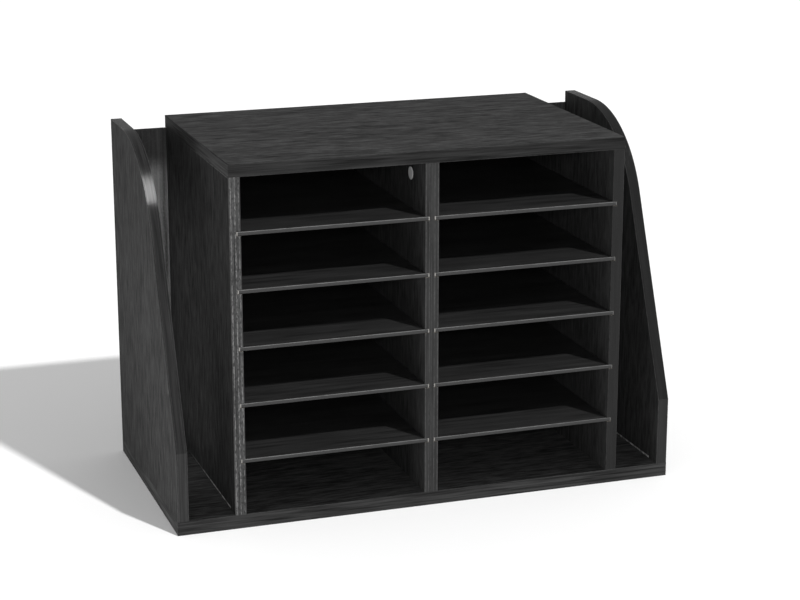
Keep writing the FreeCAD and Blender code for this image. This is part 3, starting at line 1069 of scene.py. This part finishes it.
# floor, light and camera
studio = {
    "floorColour": paint(243), "floorLift": 0.10, "floorSize": 40.0,
    "ambient": 0.48, "ceiling": 0.2, "ceilingRise": (0.02, 0.18),
    "key": {"heading": (-0.46, 0.93, -1.0), "strength": 2.95, "spread": 2.5,
            "spares": ("back_panel", "base_board")},
    "soft": {
        # this one only shows in reflections
        "over": {"position": (0.035, -0.735, 2.46), "aim": (-0.377, 0.108, 0.48),
                 "power": 36.0, "width": 0.54, "height": 1.15},
        "front": {"position": (-0.84, -2.72, 1.04), "aim": (-0.10, -0.10, 0.22),
                  "power": 30.0, "width": 0.34, "height": 0.34},
        "left": {"position": (-0.75, -0.20, 0.03), "aim": (-0.33, -0.12, 0.10),
                 "power": 2.6, "width": 0.20, "height": 0.20,
                 "spares": ("inner_side_left",)},
        # a weak one along the left panel, for the glow inside the pocket
        "pocket": {"position": (-0.3125, 0.03, 0.20), "aim": (0.0, 0.03, 0.20),
                   "power": 0.16, "width": 0.24, "height": 0.33},
        # and a narrow beam on the back panel there
        "beam": {"position": (-0.288, -0.10, 0.2075), "aim": (-0.288, 0.16, 0.2075),
                 "power": 0.15, "width": 0.054, "height": 0.375, "spread": 9.0},
    },
}


# 1 for the rays that show a thing: camera, glossy and transmission rays
def seenWhite(tree):
    path = addNode(tree, "ShaderNodeLightPath").outputs
    mirrored = maths(tree, "MAXIMUM", path["Is Glossy Ray"], path["Is Transmission Ray"])
    return maths(tree, "MAXIMUM", path["Is Camera Ray"], mirrored), mirrored


def layFloor():
    half = studio["floorSize"] / 2
    mesh = bpy.data.meshes.new("floor")
    mesh.from_pydata([(-half, -half, 0), (half, -half, 0), (half, half, 0), (-half, half, 0)],
                     [], [(0, 1, 2, 3)])
    floor = bringIn("floor", mesh)
    material, tree = blankMaterial("floorPaint")
    matt = addNode(tree, "ShaderNodeBsdfDiffuse", {"Color": studio["floorColour"]})
    glow = addNode(tree, "ShaderNodeEmission",
                   {"Strength": times(tree, seenWhite(tree)[0], studio["floorLift"])})
    both = addNode(tree, "ShaderNodeAddShader", {0: matt.outputs[0], 1: glow.outputs[0]})
    addNode(tree, "ShaderNodeOutputMaterial", {"Surface": both.outputs[0]})
    mesh.materials.append(material)
    return floor


def lightWorld():
    world = bpy.data.worlds.new("studioAir")
    bpy.context.scene.world = world
    world.use_nodes = True
    tree = world.node_tree
    tree.nodes.clear()
    seen, mirrored = seenWhite(tree)
    strength = scaled(tree, seen, 1.0 - studio["ambient"], studio["ambient"])
    # the ceiling over the white backdrop is darker, which only reflections show
    rise = separated(tree, addNode(tree, "ShaderNodeTexCoord").outputs["Generated"])[2]
    dimmed = times(tree, ramped(tree, rise, *studio["ceilingRise"]), mirrored)
    strength = scaled(tree, dimmed, studio["ceiling"] - 1.0, strength)
    air = addNode(tree, "ShaderNodeBackground", {"Color": (1, 1, 1, 1), "Strength": strength})
    addNode(tree, "ShaderNodeOutputWorld", {"Surface": air.outputs[0]})


# a flag beside a lamp keeps its light off the given things
def setFlag(lamp, things):
    flag = bpy.data.collections.new(lamp.name + "Flag")
    for thing in things:
        flag.objects.link(thing)
    for entry in flag.collection_objects:
        entry.light_linking.link_state = "EXCLUDE"
    lamp.light_linking.receiver_collection = flag


def hangLamps(floor):
    sun = bpy.data.lights.new("keyLamp", "SUN")
    sun.energy = studio["key"]["strength"]
    sun.angle = math.radians(studio["key"]["spread"])
    key = bringIn("keyLamp", sun)
    key.rotation_euler = Vector(studio["key"]["heading"]).to_track_quat("-Z", "Y").to_euler()
    key.visible_glossy = False
    setFlag(key, [cadNodes[node] for node in studio["key"]["spares"]])
    for name, given in studio["soft"].items():
        light = bpy.data.lights.new(name + "Lamp", "AREA")
        light.shape = "RECTANGLE"
        light.energy, light.size, light.size_y = given["power"], given["width"], given["height"]
        light.spread = math.radians(given.get("spread", 180.0))
        lamp = bringIn(name + "Lamp", light)
        lamp.location = given["position"]
        aim = Vector(given["aim"]) - lamp.location
        lamp.rotation_euler = aim.to_track_quat("-Z", "Y").to_euler()
        lamp.visible_camera = False
        lamp.visible_glossy = name == "over"
        lamp.visible_diffuse = name != "over"
        setFlag(lamp, [floor] + [cadNodes[node] for node in given.get("spares", ())])


def setCamera():
    view = {"position": (-0.869, -2.5715, 0.993), "turn": 18.97, "tilt": 15.73,
            "lens": 95.7, "sensor": 36.0}
    data = bpy.data.cameras.new("camera")
    data.lens, data.sensor_width = view["lens"], view["sensor"]
    camera = bringIn("camera", data)
    camera.location = view["position"]
    camera.rotation_euler = (math.radians(90 - view["tilt"]), 0, -math.radians(view["turn"]))
    bpy.context.scene.camera = camera


lightWorld()
hangLamps(layFloor())
setCamera()
bpy.context.scene.view_settings.view_transform = "Standard"
print("studio set")
